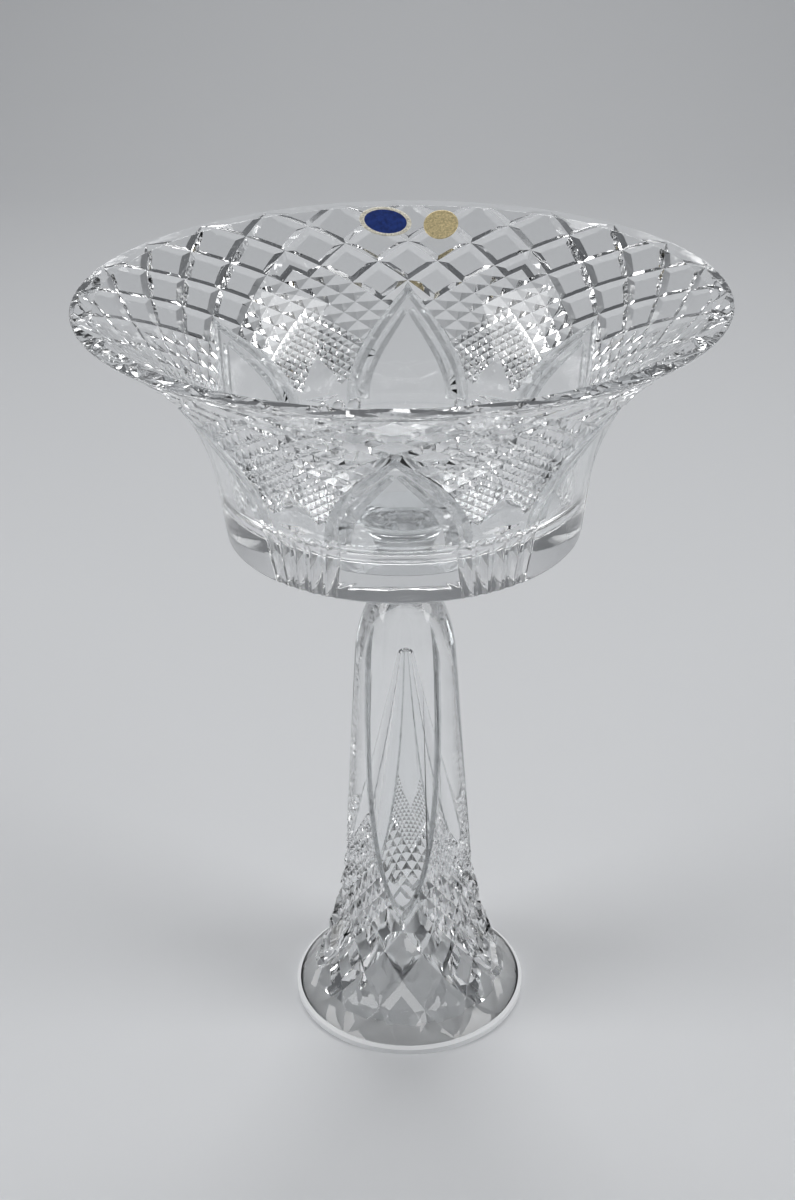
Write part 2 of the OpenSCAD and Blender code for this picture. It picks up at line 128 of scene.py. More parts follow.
class BowlCuts(bpy.types.PropertyGroup):
    """Wheel cuts on the bowl"""

    fields: IntProperty(name="Fields", description="Diamond fields round the bowl", default=6)
    half_rise: length("Half rise", "Length from the first row of diamonds to the next", 0.0118)
    first_node: length("First node", "Length where the first diamond of a field begins", 0.0292)
    wide_depth: length("Wide depth", "Depth of the wide mitre cuts", 0.00225)
    wide_slope: number("Wide slope", "Slope of the sides of the wide mitre cuts", 0.68)
    middle_depth: length("Middle depth", "Depth of the cuts between middle diamonds", 0.0020)
    fine_depth: length("Fine depth", "Depth of the cuts between fine diamonds", 0.0013)
    plain_edge: length("Plain edge", "Length left plain beside the rim", 0.0027)
    run_out: length("Run out", "Length over which the cuts run out towards the rim", 0.010)
    arch_tip: length("Arch tip", "Height of the outer arch's point above the underside", 0.083)
    arch_foot: length("Arch foot", "Height of the arch's foot above the underside", 0.030)
    arch_half_turn: angle("Arch half turn", "Turn from an arch's axis to the outer edge of its foot", 21.2)
    arch_inner_tip: length("Inner tip", "Height of the inner arch's point above the underside", 0.0717)
    arch_inner_half_turn: angle("Inner half turn", "Turn from the axis to the inner edge of its foot", 13.2)
    arch_round: number("Arch roundness", "Power that rounds the sides of an arch", 1.17)
    arch_width: length("Arch width", "Width of each of an arch's two cuts at its foot", 0.0064)
    leaf_tip: length("Leaf tip", "Height of a leaf's point above the underside", 0.0546)
    leaf_belly: length("Leaf belly", "Height below which a leaf is widest", 0.0425)
    leaf_half_turn: angle("Leaf half turn", "Half width of a leaf", 6.1)
    leaf_depth: length("Leaf depth", "Depth of a leaf along its middle", 0.0022)
    flutes: IntProperty(name="Flutes", description="Flutes under each field", default=5)
    flute_height: length("Flute height", "Height of a flute's rounded top", 0.031)
    flute_pitch: angle("Flute pitch", "Turn from one flute to the next at the top", 5.8)
    flute_base_pitch: angle("Flute base pitch", "Turn from one flute to the next at the underside", 4.4)
    flute_depth: length("Flute depth", "Depth of a flute", 0.0019)


class FootCuts(bpy.types.PropertyGroup):
    """Wheel cuts on the foot"""

    fields: IntProperty(name="Fields", description="Diamond fields round the foot", default=3)
    half_rise: length("Half rise", "Length from the first row of diamonds to the next", 0.0157)
    first_node: length("First node", "Length where the first diamond of a field begins", 0.0365)
    wide_depth: length("Wide depth", "Depth of the wide mitre cuts", 0.0032)
    wide_slope: number("Wide slope", "Slope of the sides of the wide mitre cuts", 0.68)
    middle_depth: length("Middle depth", "Depth of the cuts between middle diamonds", 0.0020)
    fine_depth: length("Fine depth", "Depth of the cuts between fine diamonds", 0.0010)
    plain_edge: length("Plain edge", "Length left plain beside the ground ring", 0.0024)
    run_out: length("Run out", "Length over which the cuts run out towards the ring", 0.014)
    arch_tip: length("Lancet tip", "Height of the outer lancet's point", 0.069)
    arch_foot: length("Lancet top", "Height where the lancet's sides run out", 0.238)
    arch_half_turn: angle("Lancet half turn", "Turn from the axis to the outer edge of its sides", 47.5)
    arch_inner_tip: length("Inner tip", "Height of the inner lancet's point", 0.077)
    arch_inner_half_turn: angle("Inner half turn", "Turn from the axis to the inner edge of its sides", 38.5)
    arch_round: number("Lancet roundness", "Power that rounds the sides of a lancet", 0.66)
    arch_inner_round: number("Inner roundness", "Power that rounds the sides of the inner lancet", 0.59)
    arch_width: length("Lancet width", "Width of each of a lancet's two cuts", 0.0027)
    leaf_tip: length("Leaf tip", "Height of a leaf's point", 0.106)
    leaf_top: length("Leaf top", "Height where a leaf meets the lancets", 0.131)
    leaf_half_turn: angle("Leaf half turn", "Half width of a leaf where it meets the lancets", 25)


class GlassSettings(bpy.types.PropertyGroup):
    """Looks of the glass"""

    tint: colour("Tint", "Colour of the crystal", (0.985, 0.992, 0.995))
    index: number("Index", "Index of refraction of the crystal", 1.545)
    ground_tint: colour("Ground tint", "Colour of the matt ground ring", (0.86, 0.87, 0.88))


class SealSettings(bpy.types.PropertyGroup):
    """Sizes and looks of the foil seals"""

    gap: length("Gap", "Clearance between the foil and the glass", 0.00005)
    thickness: length("Thickness", "Thickness of the foil with its embossing", 0.0002)
    oval_length: length("Oval length", "Length of the oval seal", 0.028)
    oval_height: length("Oval height", "Height of the oval seal", 0.0185)
    oval_drop: length("Oval drop", "Distance of its centre from the rim, along the lip", 0.0100)
    oval_turn: angle("Oval turn", "Turn of the oval seal from the back of the bowl", 5.1)
    oval_slant: angle("Oval slant", "Slant of the oval seal, as it was stuck on", 11.5)
    round_diameter: length("Round diameter", "Diameter of the round seal", 0.0185)
    round_drop: length("Round drop", "Distance of its centre from the rim, along the lip", 0.0119)
    round_turn: angle("Round turn", "Turn of the round seal from the back of the bowl", -7.5)
    beads: IntProperty(name="Beads", description="Beads round the border of a seal", default=52)
    gold: colour("Gold", "Colour of the gold foil", (0.70, 0.58, 0.32))
    blue: colour("Blue", "Colour of the blue foil", (0.020, 0.048, 0.23))
    pale: colour("Pale", "Colour of the oval seal's border", (0.80, 0.76, 0.64))


class StageSettings(bpy.types.PropertyGroup):
    """Floor, lamps and camera"""

    floor: colour("Floor", "Colour of the floor and the backdrop", (0.66, 0.67, 0.685))
    world: colour("World", "Colour of the room's soft light", (0.50, 0.52, 0.55))
    world_strength: number("World strength", "Strength of the room's soft light", 0.2)
    camera_distance: length("Camera distance", "Distance of the camera from the axis", 0.8163)
    camera_height: length("Camera height", "Height of the camera", 0.6802)
    camera_turn: angle("Camera turn", "Turn of the camera round the axis from the front", 1.75)
    camera_pitch: angle("Camera pitch", "Angle that the camera looks down", 28.165)
    camera_roll: angle("Camera roll", "Roll of the camera", -0.810)
    camera_yaw: angle("Camera yaw", "Turn of the camera away from the axis", -0.266)
    camera_lens: number("Camera lens", "Focal length in millimetres", 54.975)


# Sections and skins

# Largest turn between two points of a rounded corner
ARC_STEP = math.radians(2.5)
# Length by which a skin goes on past both its ends
RUN_OFF = 0.05
# Rounding of the top of the foot's hollow, as a share of the largest that fits
DOME_SHARE = 0.98


def climb(lean):
    """Direction that climbs while it leans away from the axis."""
    return np.array([math.sin(lean), math.cos(lean)])


def inward(lean):
    """Direction square to it, towards the axis."""
    return np.array([-math.cos(lean), math.sin(lean)])


def cross2(a, b):
    return a[0] * b[1] - a[1] * b[0]


def meet(p, u, q, v):
    """Point where the line through p along u meets the line through q along v."""
    return p + u * cross2(q - p, v) / cross2(u, v)


def unit(vector):
    return vector / np.linalg.norm(vector)


def corner_arc(before, corner, after, radius):
    """Points of the arc that rounds a corner."""
    to_before = unit(before - corner)
    to_after = unit(after - corner)
    half = math.acos(np.dot(to_before, to_after)) / 2
    centre = corner + unit(to_before + to_after) * radius / math.sin(half)
    start = corner + to_before * radius / math.tan(half) - centre
    sweep = math.copysign(math.pi - 2 * half, cross2(corner - before, after - corner))
    steps = max(2, math.ceil(abs(sweep) / ARC_STEP))
    first = math.atan2(start[1], start[0])
    turns = [first + sweep * k / steps for k in range(steps + 1)]
    return [centre + radius * np.array([math.cos(t), math.sin(t)]) for t in turns]


def rounded(corners, closed):
    """Points along corners, each given as its place and its rounding."""
    points = []
    count = len(corners)
    for k, (place, radius) in enumerate(corners):
        if radius > 0 and (closed or 0 < k < count - 1):
            points += corner_arc(corners[k - 1][0], place, corners[(k + 1) % count][0], radius)
        else:
            points.append(place)
    return np.array(points)


class Skin:
    """Outer face of a turned piece of glass, with a straight run-off past both ends."""

    def __init__(self, path, turn):
        head = path[0] - unit(path[1] - path[0]) * RUN_OFF
        tail = path[-1] + unit(path[-1] - path[-2]) * RUN_OFF
        self.path = np.vstack([head, path, tail])
        self.turn = turn
        steps = np.diff(self.path, axis=0)
        strides = np.linalg.norm(steps, axis=1)
        self.lengths = np.concatenate([[0], np.cumsum(strides)]) - RUN_OFF
        between = (self.path[1:, 0] + self.path[:-1, 0]) / 2
        self.in_radii = np.concatenate([[0], np.cumsum(strides / between)])
        self.upward = path[-1][1] > path[0][1]
        side = 1 if self.upward else -1
        square = side * np.column_stack([steps[:, 1], -steps[:, 0]])
        square /= np.linalg.norm(square, axis=1)[:, None]
        blended = np.vstack([square[0], square[:-1] + square[1:], square[-1]])
        self.normals = blended / np.linalg.norm(blended, axis=1)[:, None]

    def mix(self, columns, place):
        return np.array([np.interp(place, self.lengths, columns[:, k]) for k in (0, 1)])

    def radius(self, place):
        return float(np.interp(place, self.lengths, self.path[:, 0]))

    def rows_past(self, place, rise, rows):
        """Length some rows past a place; a row is as long as rise there and shrinks with the radius."""
        start = np.interp(place, self.lengths, self.in_radii)
        return float(np.interp(start + rows * rise / self.radius(place), self.in_radii, self.lengths))

    def length_at(self, z):
        """Length at which the skin passes a height."""
        order = np.argsort(self.path[:, 1])
        return float(np.interp(z, self.path[order, 1], self.lengths[order]))

    def at(self, turn, place, height):
        """Point in space at a turn, a length along the skin and a height above it."""
        r, z = self.mix(self.path, place) + height * unit(self.mix(self.normals, place))
        around = turn + self.turn
        return (r * math.sin(around), -r * math.cos(around), z)


def rim_corners(settings):
    """Outer and inner corner of the rim's flat face, before they are rounded."""
    rise = settings.lip_rise
    outer = settings.rim_diameter / 2 + settings.rim_rounding * (1 / math.tan(rise / 2) - 1)
    inner = outer - settings.wall / math.sin(rise)
    return np.array([outer, BOWL_HIGH.z]), np.array([inner, BOWL_HIGH.z])


def on_lip(settings, turn, along, height):
    """Point over the lip's inner face, at a turn, a distance from the rim and a height."""
    lean = math.pi / 2 - settings.lip_rise
    r, z = rim_corners(settings)[1] - along * climb(lean) + height * inward(lean)
    return (r * math.sin(turn), -r * math.cos(turn), z)


def bowl_form(settings):
    """The bowl's closed section and its skin."""
    base_z = BOWL_LOW.z
    lip_lean = math.pi / 2 - settings.lip_rise
    rim_outer, rim_inner = rim_corners(settings)
    base_edge = np.array([settings.base_diameter / 2, base_z])
    base_edge_in = base_edge + settings.wall * inward(settings.body_lean)
    body = climb(settings.body_lean)
    lip = climb(lip_lean)
    flare = meet(base_edge, body, rim_outer, lip)
    flare_in = meet(base_edge_in, body, rim_inner, lip)
    floor_z = base_z + settings.base_thickness
    floor_corner = meet(base_edge_in, body, np.array([0, floor_z]), np.array([1, 0]))
    section = rounded([
        (np.array([0, base_z]), 0),
        (base_edge, settings.base_rounding),
        (flare, settings.flare_radius),
        (rim_outer, settings.rim_rounding),
        (rim_inner, settings.rim_rounding),
        (flare_in, settings.flare_radius + settings.wall),
        (floor_corner, settings.floor_radius),
        (np.array([0, floor_z]), 0),
    ], closed=True)
    path = rounded([(rim_outer, 0), (flare, settings.flare_radius), (base_edge, 0)], closed=False)
    return section, Skin(path, 0.0)


def foot_form(settings):
    """The foot's closed section and its skin."""
    top_z = FOOT_HIGH.z
    ring_r = settings.ring_diameter / 2
    ring_edge = np.array([ring_r, 0])
    lip_edge = np.array([ring_r, settings.edge_height])
    ring_in = np.array([ring_r - settings.ring_width, 0])
    stem = np.array([settings.stem_diameter / 2, settings.stem_height])
    shoulder = np.array([settings.shoulder_diameter / 2, top_z - settings.shoulder_drop])
    pad = np.array([settings.pad_diameter / 2, top_z])
    lip_way = climb(-settings.lip_lean)
    skirt_way = climb(-settings.skirt_lean)
    hollow_way = climb(-settings.hollow_lean)
    lip = meet(lip_edge, lip_way, stem, skirt_way)
    neck = meet(shoulder, climb(-settings.shoulder_lean), pad, climb(settings.neck_spread))
    skirt_in = stem + settings.wall * inward(-settings.skirt_lean)
    side_in = stem + settings.wall * inward(-settings.hollow_lean)
    lip_in = meet(ring_in, lip_way, skirt_in, skirt_way)
    stem_in = meet(skirt_in, skirt_way, side_in, hollow_way)
    hollow_z = top_z - settings.crown
    hollow = meet(side_in, hollow_way, np.array([0, hollow_z]), np.array([1, 0]))
    dome = DOME_SHARE * hollow[0] / math.tan((math.pi / 2 - settings.hollow_lean) / 2)
    outside = [
        (lip_edge, 0),
        (lip, settings.lip_radius),
        (stem, settings.skirt_radius),
        (shoulder, settings.shoulder_radius),
        (neck, settings.neck_radius),
        (pad, 0),
    ]
    inside = [
        (np.array([0, top_z]), 0),
        (np.array([0, hollow_z]), 0),
        (hollow, dome),
        (stem_in, settings.hollow_skirt_radius),
        (lip_in, settings.lip_radius),
    ]
    section = rounded([(ring_in, 0), (ring_edge, 0)] + outside + inside, closed=True)
    return section, Skin(rounded(outside, closed=False), settings.turn)


# Meshes

# Radius below which a point of a section lies on the axis
ON_AXIS = 1e-7


def new_piece(name, vertices, faces):
    mesh = bpy.data.meshes.new(name)
    mesh.from_pydata([tuple(v) for v in vertices], [], [tuple(f) for f in faces])
    mesh.update()
    piece = bpy.data.objects.new(name, mesh)
    bpy.context.scene.collection.objects.link(piece)
    return piece


def turned(name, section, sides):
    """Solid of revolution of a closed section, drawn counter-clockwise beside the axis."""
    vertices = []
    rings = []
    for r, z in section:
        on_axis = r < ON_AXIS
        count = 1 if on_axis else sides
        start = len(vertices)
        rings.append([start + (0 if on_axis else k) for k in range(sides)])
        for k in range(count):
            around = 2 * math.pi * k / sides
            vertices.append((r * math.sin(around), -r * math.cos(around), z))
    faces = []
    for k, ring in enumerate(rings):
        after = rings[(k + 1) % len(rings)]
        for i in range(sides):
            j = (i + 1) % sides
            loop = [ring[i], ring[j], after[j], after[i]]
            loop = [v for n, v in enumerate(loop) if v != loop[n - 1]]
            if len(loop) > 2:
                faces.append(loop)
    return new_piece(name, vertices, faces)


class Cutter:
    """A solid laid over a skin: its underside follows the nodes, its top stands clear of the glass."""

    def __init__(self, skin, top):
        self.skin = skin
        self.top = top
        self.vertices = []
        self.faces = []

    def add(self, nodes, faces, turn=0.0):
        """Adds a closed slab whose nodes are (turn, length, height) and whose faces are loops of them."""
        start = len(self.vertices)
        count = len(nodes)
        self.vertices += [self.skin.at(t + turn, place, height) for t, place, height in nodes]
        self.vertices += [self.skin.at(t + turn, place, self.top) for t, place, _ in nodes]
        edges = {(a, b) for face in faces for a, b in zip(face, face[1:] + face[:1])}
        solid = [[v + count for v in face] for face in faces]
        solid += [face[::-1] for face in faces]
        solid += [[a, b, b + count, a + count] for a, b in edges if (b, a) not in edges]
        for face in solid:
            loop = [v + start for v in face]
            self.faces.append(loop if self.skin.upward else loop[::-1])

    def build(self, name):
        return new_piece(name, self.vertices, self.faces)


def repeat_slab(name, skin, top, nodes, faces, turns):
    """The same slab at each of these turns, in one piece."""
    cutter = Cutter(skin, top)
    for turn in turns:
        cutter.add(nodes, faces, turn)
    return cutter.build(name)


def grid_faces(rows, columns):
    return [
        [row * columns + k, row * columns + k + 1, (row + 1) * columns + k + 1, (row + 1) * columns + k]
        for row in range(rows - 1) for k in range(columns - 1)]


def check_closed(piece):
    """Raises an error unless every edge of the piece has two faces."""
    uses = {}
    for face in piece.data.polygons:
        for key in face.edge_keys:
            uses[key] = uses.get(key, 0) + 1
    if any(count != 2 for count in uses.values()):
        raise RuntimeError(f"{piece.name} is not closed")


def cut(piece, cutters):
    """Takes the cutters out of the piece, one after another, and removes them."""
    for cutter in cutters:
        check_closed(cutter)
        step = piece.modifiers.new(cutter.name, "BOOLEAN")
        step.operation = "DIFFERENCE"
        step.solver = "MANIFOLD"
        step.object = cutter
        settle(piece)
        old = cutter.data
        bpy.data.objects.remove(cutter)
        bpy.data.meshes.remove(old)


def settle(piece):
    """Applies the piece's modifiers."""
    depsgraph = bpy.context.evaluated_depsgraph_get()
    before = piece.data
    made = bpy.data.meshes.new_from_object(piece.evaluated_get(depsgraph), depsgraph=depsgraph)
    if len(made.vertices) == len(before.vertices):
        raise RuntimeError(f"nothing was cut from {piece.name}")
    made.name = before.name
    piece.modifiers.clear()
    piece.data = made
    bpy.data.meshes.remove(before)


# Wheel cuts

# Parts that the side of a wide diamond is divided into
QUARTERS = 4
# Half the width of a field, in half diamonds, and its whole width in quarters
HALF_FIELD = 4
FIELD_STEPS = 2 * HALF_FIELD * QUARTERS
# Rows of diamonds whose middles lie before a field's first node
ROWS_BEFORE = 2
# Quarters past the first node, along both sides, from which the diamonds are fine
FINE_FROM = 6
# Height of the upper edges of a cut's faces, and of the tops of the cutters and of the panels
PROUD = 0.0012
CLEAR = 0.009
PANEL_CLEAR = CLEAR + 0.003
# Drop of the points of middle and fine diamonds below the skin
POINT_DROP = 0.00012
# Slope of the sides of the cuts of arches and lancets
MITRE_SLOPE = 0.62
# Length by which diamonds overrun an arch's tip or the end of a field
OVERRUN = 0.004
# Flutes: share of the pitch that half a flute takes, half the span of its cutter in half flutes, least share
# of its width at the top, and share of its depth that is lost towards the underside
FLUTE_SHARE, FLUTE_SPAN, FLUTE_LEAST, FLUTE_LOSS = 0.43, 1.18, 0.08, 0.25
# Flutes: length past the underside, rise of the whole cut, and power that crowds its rows near the top
FLUTE_PAST, FLUTE_RISE, FLUTE_POWER = 0.004, 0.00005, 1.6
# Least angle between two faces that keeps the edge between them sharp
SHARP_ANGLE = math.radians(16)


def square_loop(a, b, size):
    return [(a, b), (a + size, b), (a + size, b + size), (a, b + size)]


def diamond_cells(rows):
    """Loops of one field's cells on a grid of quarters, each with its kind."""
    cells = []
    full, half = QUARTERS, QUARTERS // 2
    notched = [(0, 0), (full, 0), (full, half), (half, half), (half, full), (0, full)]
    grid = range(-HALF_FIELD - ROWS_BEFORE, rows + 1)
    for i in grid:
        for j in grid:
            if not (-HALF_FIELD < i - j <= HALF_FIELD and -ROWS_BEFORE <= i + j + 1 <= rows):
                continue
            a, b = full * i, full * j
            if i < 0 or j < 0:
                cells.append((square_loop(a, b, full), "wide"))
            elif i == 0 and j == 0:
                cells.append((notched, "wide"))
                cells.append((square_loop(half, half, half), "middle"))
            else:
                for c, d in ((a, b), (a + half, b), (a, b + half), (a + half, b + half)):
                    if c >= FINE_FROM and d >= FINE_FROM:
                        cells += [(square_loop(c + e, d + f, 1), "fine") for e in (0, 1) for f in (0, 1)]
                    else:
                        cells.append((square_loop(c, d, half), "middle"))
    return cells


def inset(loop, amount):
    """The loop drawn in by an amount on every side."""
    drawn = []
    for k, here in enumerate(loop):
        before, after = loop[k - 1], loop[(k + 1) % len(loop)]
        sides = {(-np.sign(q[1] - p[1]), np.sign(q[0] - p[0])) for p, q in ((before, here), (here, after))}
        drawn.append(tuple(here[n] + amount * sum(side[n] for side in sides) for n in (0, 1)))
    return drawn


def diamond_cutter(skin, cuts, rows, plain):
    """Cuts of all diamond fields in one solid; plain tells which turns and lengths of a field stay uncut."""
    field_turn = 2 * math.pi / cuts.fields
    step_turn = field_turn / FIELD_STEPS
    depths = {"wide": cuts.wide_depth, "middle": cuts.middle_depth, "fine": cuts.fine_depth}

    def place(a, b):
        return (a - b) * step_turn, skin.rows_past(cuts.first_node, cuts.half_rise, (a + b) / QUARTERS)

    def key(a, b, field):
        return (round(a - b) + FIELD_STEPS * field) % (FIELD_STEPS * cuts.fields), round(a + b)

    cells = [cell for cell in diamond_cells(rows) if not all(plain(*place(a, b)) for a, b in cell[0])]
    depth_at = {}
    for loop, kind in cells:
        for k, (a, b) in enumerate(loop):
            c, d = loop[(k + 1) % len(loop)]
            for node in ((a, b), ((a + c) / 2, (b + d) / 2)):
                if kind != "fine" or node == (a, b):
                    for field in range(cuts.fields):
                        known = depth_at.get(key(*node, field), 0)
                        depth_at[key(*node, field)] = max(known, depths[kind])

    nodes, faces, index = [], [], {}

    def own(a, b, field, height):
        turn, along = place(a, b)
        nodes.append((turn + (field + 0.5) * field_turn, along, height))
        return len(nodes) - 1

    def shared(a, b, field):
        code = key(a, b, field)
        if code not in index:
            from_edge = (place(a, b)[1] - cuts.plain_edge) / cuts.run_out
            if from_edge > 0:
                height = -depth_at[code] * min(1.0, from_edge)
            else:
                height = min(PROUD, -from_edge * PROUD)
            index[code] = own(a, b, field, height)
        return index[code]

    for field in range(cuts.fields):
        for loop, kind in cells:
            full = []
            for k, (a, b) in enumerate(loop):
                c, d = loop[(k + 1) % len(loop)]
                count = max(abs(c - a), abs(d - b))
                steps = [(a + (c - a) * n / count, b + (d - b) * n / count) for n in range(count)]
                full += [node for node in steps if key(*node, field) in depth_at]
            outer = [shared(a, b, field) for a, b in full]
            following = outer[1:] + outer[:1]
            middle = np.mean(loop, axis=0)
            if kind == "wide":
                scale = skin.radius(place(*middle)[1])
                across = QUARTERS * step_turn * scale
                rise = cuts.half_rise * scale / skin.radius(cuts.first_node)
                spacing = 2 * across * rise / math.hypot(across, rise)
                drawn_in = (cuts.wide_depth + PROUD) / cuts.wide_slope / spacing * QUARTERS
                inner = [own(a, b, field, PROUD) for a, b in inset(full, drawn_in)]
                faces += [list(f) for f in zip(outer, following, inner[1:] + inner[:1], inner)]
                faces.append(inner)
            else:
                point = own(*middle, field, -POINT_DROP)
                faces += [[p, q, point] for p, q in zip(outer, following)]
    cutter = Cutter(skin, CLEAR)
    cutter.add(nodes, faces)
    return cutter.build("diamonds")


class Arch:
    """A pointed arch on a skin: its half width grows from the tip to the foot."""

    def __init__(self, skin, tip, foot, half_turn, roundness=1.0):
        self.tip = skin.length_at(tip)
        self.foot = skin.length_at(foot)
        self.half_turn = half_turn
        self.roundness = roundness

    def share(self, along):
        return (along - self.tip) / (self.foot - self.tip)

    def half(self, along):
        """Half width at a length along the skin."""
        t = min(max(self.share(along), 0.0), 1.0)
        return self.half_turn * math.sin(math.pi / 2 * t ** self.roundness)

    def lengths(self, count):
        """Lengths from the tip to the foot, closer together near the tip."""
        crowding = 1.5
        return [self.tip + (self.foot - self.tip) * (k / count) ** crowding for k in range(count + 1)]


class Gable(Arch):
    """A point with straight sides."""

    def half(self, along):
        return self.half_turn * min(max(self.share(along), 0.0), 1.0)


def field_turns(fields):
    """Turns of the axes of the arches, and of the middles of the fields between them."""
    axes = [2 * math.pi * k / fields for k in range(fields)]
    return axes, [turn + math.pi / fields for turn in axes]


def kept_plain(fields, outer, inner, end):
    """The test that tells which turns from a field's middle, and which lengths, the diamonds leave plain."""
    def plain(turn, along):
        from_axis = math.pi / fields - abs(turn)
        in_arch = along > outer.tip + OVERRUN and abs(from_axis) < inner.half(along)
        return in_arch or along > end

    return plain


def arch_panel(name, skin, arch, turns, extra, depth):
    """Solids over the arches at these turns, to keep other cuts off them."""
    rows, columns = 24, 9
    lengths = arch.lengths(rows) + [arch.foot + extra]
    nodes = []
    for along in lengths[1:]:
        half = arch.half(along)
        nodes += [(half * (2 * k / (columns - 1) - 1), along, -depth) for k in range(columns)]
    faces = grid_faces(len(lengths) - 1, columns)
    tip = len(nodes)
    nodes.append((0.0, lengths[0], -depth))
    faces += [[tip, k + 1, k] for k in range(columns - 1)]
    return repeat_slab(name, skin, PANEL_CLEAR, nodes, faces, turns)


def mitre_cuts(name, skin, path, widths, turns):
    """V-shaped solids along a path of (turn, length), the same at each of these turns.

    Their faces look inwards, unlike those of the other cutters.
    """
    sides = (-1, 0, 1)
    nodes = []
    for k, (turn, along) in enumerate(path):
        before, after = path[max(k - 1, 0)], path[min(k + 1, len(path) - 1)]
        r = skin.radius(along)
        way = unit(np.array([(after[0] - before[0]) * r, after[1] - before[1]]))
        depth = widths[k] / 2 * MITRE_SLOPE
        reach = widths[k] / 2 + PROUD / MITRE_SLOPE
        for side in sides:
            shift = side * reach
            height = PROUD if side else -depth
            nodes.append((turn - shift * way[1] / r, along + shift * way[0], height))
    return repeat_slab(name, skin, CLEAR, nodes, grid_faces(len(path), len(sides)), turns)


def arch_cuts(name, skin, arch, width, turns, inset_share, tip_share, run_out):
    """The two sides of an arch's cut, drawn a little past its tip."""
    rows, lead, lead_width, end_width = 28, 0.6, 0.6, 0.05
    lengths = arch.lengths(rows)
    cutters = []
    for side in (-1, 1):
        path = []
        widths = []
        for along in lengths:
            t = arch.share(along)
            here = width * (tip_share + (1 - tip_share) * min(1.0, 2 * t))
            fade = 1.0 if run_out <= 0 else min(1.0, (1 - t) / run_out + end_width)
            turn = arch.half(along) - inset_share * here / skin.radius(along)
            path.append((side * turn, along))
            widths.append(here * fade)
        ahead = np.array(path[0]) * (1 + lead) - np.array(path[2]) * lead
        path.insert(0, tuple(ahead))
        widths.insert(0, widths[0] * lead_width)
        cutters.append(mitre_cuts(f"{name}_{side}", skin, path, widths, turns))
    return cutters


def leaf_cut(name, skin, head, end, depth, turns):
    """Leaves of two facets that meet in a line down the middle, from a gable's point to an end."""
    rows, close, least = 24, 0.003, 0.02
    shares = (-1.3, -0.5, 0, 0.5, 1.3)
    nodes = []
    for k in range(rows + 1):
        along = head.tip + (end - head.tip) * k / rows
        swell = min(max(head.share(along), least), 1.0, (end - along) / close + least)
        deep = depth * swell
        for share in shares:
            nodes.append((head.half_turn * swell * share, along, deep * (abs(share) - 1)))
    return repeat_slab(name, skin, CLEAR, nodes, grid_faces(rows + 1, len(shares)), turns)


def flute_cutters(skin, cuts):
    """Round-topped flutes in groups, drawn together towards the underside, neighbours in separate solids."""
    top = skin.length_at(BOWL_LOW.z + cuts.flute_height)
    end = skin.length_at(BOWL_LOW.z) + FLUTE_PAST
    rows, columns = 22, 11
    field_turn = 2 * math.pi / cuts.fields
    cutters = [Cutter(skin, CLEAR) for _ in range(2)]
    for i in range(cuts.flutes):
        offset = i - (cuts.flutes - 1) / 2
        nodes = []
        for row in range(rows + 1):
            t = (row / rows) ** FLUTE_POWER
            along = top + (end - top) * t
            pitch = cuts.flute_pitch + (cuts.flute_base_pitch - cuts.flute_pitch) * t
            full = FLUTE_SHARE * pitch * skin.radius(along)
            nose = min(1.0, (along - top) / full)
            fill = math.sqrt(max(0.0, 1 - (1 - nose) ** 2))
            half = full * max(fill, FLUTE_LEAST)
            depth = cuts.flute_depth * fill * (1 - FLUTE_LOSS * t)
            for k in range(columns):
                x = FLUTE_SPAN * (2 * k / (columns - 1) - 1)
                turn = pitch * offset + x * half / skin.radius(along)
                nodes.append((turn, along, depth * (x * x - 1) + FLUTE_RISE))
        faces = grid_faces(rows + 1, columns)
        for field in range(cuts.fields):
            cutters[i % 2].add(nodes, faces, (field + 0.5) * field_turn)
    return [cutter.build(f"flutes_{n}") for n, cutter in enumerate(cutters)]


def finish(piece, node, slot, materials):
    """Smooth faces, the finishes, and the piece's place in the part."""
    for material in materials:
        piece.data.materials.append(material)
    piece.data.shade_smooth()
    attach(piece, "root")
    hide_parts(node)


def finish_glass(piece, node, slot, materials):
    """The same for glass, whose cuts stay sharp."""
    piece.data.materials.clear()
    finish(piece, node, slot, materials)
    piece.data.set_sharp_from_angle(angle=SHARP_ANGLE)


# Materials

# Foil: places on the ramp of its grain, and the shade of its colour at each
FOIL_SHADES = ((0.30, 0.62), (0.70, 1.25))


def new_material(name):
    material = bpy.data.materials.new(name)
    material.use_nodes = True
    tree = material.node_tree
    return material, tree, tree.nodes["Principled BSDF"]


def add_noise(tree, scale, detail):
    place = tree.nodes.new("ShaderNodeTexCoord")
    noise = tree.nodes.new("ShaderNodeTexNoise")
    noise.inputs["Scale"].default_value = scale
    noise.inputs["Detail"].default_value = detail
    tree.links.new(place.outputs["Object"], noise.inputs["Vector"])
    return noise.outputs["Fac"]


def add_roughness(tree, shader, scale, detail, low, high):
    """A roughness that wanders between two values."""
    noise = add_noise(tree, scale, detail)
    spread = tree.nodes.new("ShaderNodeMapRange")
    spread.inputs["To Min"].default_value = low
    spread.inputs["To Max"].default_value = high
    tree.links.new(noise, spread.inputs["Value"])
    tree.links.new(spread.outputs["Result"], shader.inputs["Roughness"])


def add_bump(tree, shader, scale, detail, strength, distance):
    """A fine unevenness of the surface."""
    noise = add_noise(tree, scale, detail)
    bump = tree.nodes.new("ShaderNodeBump")
    bump.inputs["Strength"].default_value = strength
    bump.inputs["Distance"].default_value = distance
    tree.links.new(noise, bump.inputs["Height"])
    tree.links.new(bump.outputs["Normal"], shader.inputs["Normal"])


